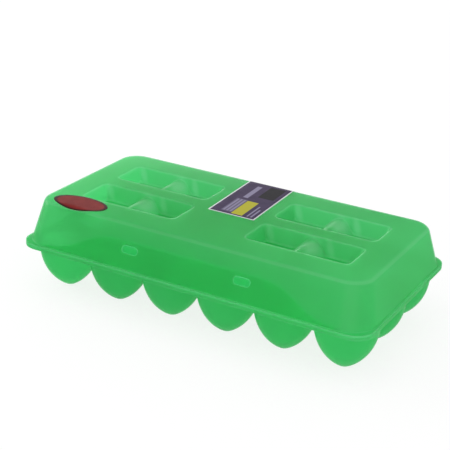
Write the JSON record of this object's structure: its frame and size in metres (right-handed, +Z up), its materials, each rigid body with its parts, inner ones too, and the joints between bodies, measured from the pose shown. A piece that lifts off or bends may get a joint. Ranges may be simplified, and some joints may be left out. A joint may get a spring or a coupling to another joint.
{
  "type": "egg tray with hinged lid",
  "caption": "Closed egg keeper: tray of round egg cups under a hinged lid with pressed recesses, held shut by a sprung front flap with push buttons.",
  "frame": {"origin": "under the middle of the closed keeper, on the plane that the cup feet stand on", "axes": "+X along the length to the right seen from the flap, -Y towards the lock flap, +Y towards the rear hinge, +Z up"},
  "size_m": [0.294, 0.16, 0.0736],
  "materials": {
    "green_plastic": "frosted see-through polypropylene, soft gloss",
    "red_sticker": "glossy printed sticker",
    "dark_label": "glossy printed label"
  },
  "bodies": {
    "tray": {"tray_deck": "green_plastic", "egg_cup_front_1": "green_plastic", "egg_cup_front_2": "green_plastic", "egg_cup_front_3": "green_plastic", "egg_cup_front_4": "green_plastic", "egg_cup_front_5": "green_plastic", "egg_cup_front_6": "green_plastic", "egg_cup_middle_1": "green_plastic", "egg_cup_middle_2": "green_plastic", "egg_cup_middle_3": "green_plastic", "egg_cup_middle_4": "green_plastic", "egg_cup_middle_5": "green_plastic", "egg_cup_middle_6": "green_plastic", "egg_cup_rear_1": "green_plastic", "egg_cup_rear_2": "green_plastic", "egg_cup_rear_3": "green_plastic", "egg_cup_rear_4": "green_plastic", "egg_cup_rear_5": "green_plastic", "egg_cup_rear_6": "green_plastic", "deck_post_front_1": "green_plastic", "deck_post_front_2": "green_plastic", "deck_post_front_3": "green_plastic", "deck_post_front_4": "green_plastic", "deck_post_front_5": "green_plastic", "deck_post_rear_1": "green_plastic", "deck_post_rear_2": "green_plastic", "deck_post_rear_3": "green_plastic", "deck_post_rear_4": "green_plastic", "deck_post_rear_5": "green_plastic", "rear_hinge_film": "green_plastic", "flap_hinge_film": "green_plastic"},
    "lid": {"lid_shell": "green_plastic", "oval_sticker": "red_sticker", "top_label": "dark_label"},
    "lock_flap": {"lock_flap": "green_plastic", "latch_button_left": "green_plastic", "latch_button_right": "green_plastic"}
  },
  "joints": [
    {"name": "lid_hinge", "type": "hinge", "parent": "tray", "child": "lid", "pos_m": [0, 0.07942, 0.04], "axis": [-1, 0, 0], "range_deg": [0, 180], "deforming": ["rear_hinge_film"]},
    {"name": "flap_hinge", "type": "hinge", "parent": "tray", "child": "lock_flap", "pos_m": [0, -0.07677, 0.0405], "axis": [-1, 0, 0], "range_deg": [0, 12], "stiffness_Nm_per_rad": 0.02, "springref_deg": -17.19, "deforming": ["flap_hinge_film"]}
  ]
}
